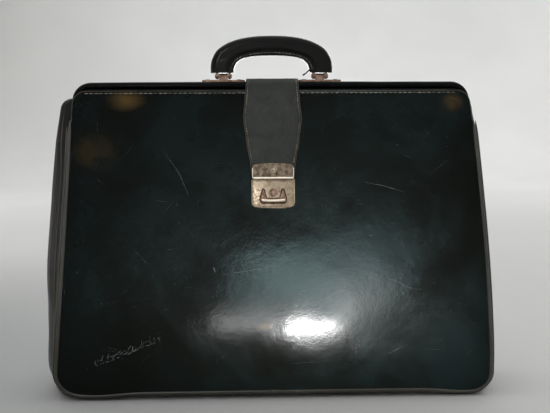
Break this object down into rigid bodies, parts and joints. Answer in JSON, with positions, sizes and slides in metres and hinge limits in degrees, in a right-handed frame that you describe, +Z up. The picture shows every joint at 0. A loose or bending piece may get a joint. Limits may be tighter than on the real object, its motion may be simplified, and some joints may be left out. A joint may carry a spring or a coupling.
{
  "type": "framed leather bag",
  "caption": "Upright leather bag with a hinged top frame, folded side gussets, a swinging handle and a strap that fastens at a small key lock.",
  "frame": {"origin": "centre of the flat base, on the surface the bag stands on", "axes": "+Z up, +X along the bag to the right seen from the front, -Y out of the front panel"},
  "size_m": [0.432, 0.095, 0.3402],
  "materials": {
    "black_leather": "glossy, worn, scratched",
    "gusset_leather": "satin, creased",
    "piping_leather": "satin, rubbed",
    "strap_leather": "dull, cracked",
    "handle_leather": "glossy, worn edges",
    "lining_cloth": "matte woven",
    "board": "matte",
    "frame_steel": "satin, plated",
    "dark_steel": "dull, tarnished",
    "aged_brass": "aged, patinated",
    "coppered_steel": "worn copper plating"
  },
  "bodies": {
    "bag_shell": {"rear_panel": "black_leather", "rear_lining": "lining_cloth", "rear_piping": "piping_leather", "gusset_left": "gusset_leather", "gusset_right": "gusset_leather", "gusset_bottom": "gusset_leather", "bottom_board": "board", "rear_frame": "frame_steel", "rear_binding": "black_leather", "pivot_rivet_left": "frame_steel", "pivot_rivet_right": "frame_steel", "strap_tail": "strap_leather", "strap_anchor_rivets": "aged_brass", "strap_backing_plate": "frame_steel", "handle_base_left": "coppered_steel", "handle_base_right": "coppered_steel", "handle_base_rivets": "coppered_steel", "handle_pin_left": "dark_steel", "handle_pin_right": "dark_steel"},
    "frame_front": {"front_frame": "frame_steel", "front_binding": "black_leather"},
    "panel_front": {"front_panel": "black_leather", "front_lining": "lining_cloth", "front_piping": "piping_leather", "lock_face": "aged_brass", "lock_case": "dark_steel", "lock_studs": "dark_steel", "lock_spring": "dark_steel"},
    "strap": {"strap_front": "strap_leather", "strap_lining": "strap_leather", "hasp_plate": "aged_brass", "hasp_tongue": "aged_brass", "hasp_eyelet": "aged_brass"},
    "catch": {"lock_slide": "aged_brass", "lock_bolt": "dark_steel"},
    "key": {"key_plug": "aged_brass", "key_cam": "dark_steel"},
    "handle": {"handle_cover": "handle_leather", "handle_core": "frame_steel", "handle_clevis_left": "coppered_steel", "handle_clevis_right": "coppered_steel"}
  },
  "joints": [
    {"name": "mouth_open", "type": "hinge", "parent": "bag_shell", "child": "frame_front", "pos_m": [0, 0, 0.262], "axis": [1, 0, 0], "range_deg": [0, 48]},
    {"name": "front_panel_tilt", "type": "hinge", "parent": "bag_shell", "child": "panel_front", "pos_m": [0, -0.0415, 0.005], "axis": [1, 0, 0], "range_deg": [0, 5.04]},
    {"name": "strap_lift", "type": "hinge", "parent": "bag_shell", "child": "strap", "pos_m": [0, -0.0116, 0.3002], "axis": [-1, 0, 0], "range_deg": [0, 120]},
    {"name": "handle_swing", "type": "hinge", "parent": "bag_shell", "child": "handle", "pos_m": [0, 0.0046, 0.3021], "axis": [1, 0, 0], "range_deg": [-65, 52]},
    {"name": "catch_slide", "type": "slide", "parent": "panel_front", "child": "catch", "axis": [0, -0.1848, -0.9828], "range_m": [0, 0.002], "stiffness_N_per_m": 150, "deforming": ["lock_spring"]},
    {"name": "key_turn", "type": "hinge", "parent": "panel_front", "child": "key", "pos_m": [0, -0.02872, 0.19267], "axis": [0, -0.9828, 0.1848], "range_deg": [0, 90]}
  ],
  "couplings": [
    {"joint": "front_panel_tilt", "follows": "mouth_open", "ratio": 0.105},
    {"joint": "strap_lift", "follows": "mouth_open", "ratio": 2.5}
  ]
}
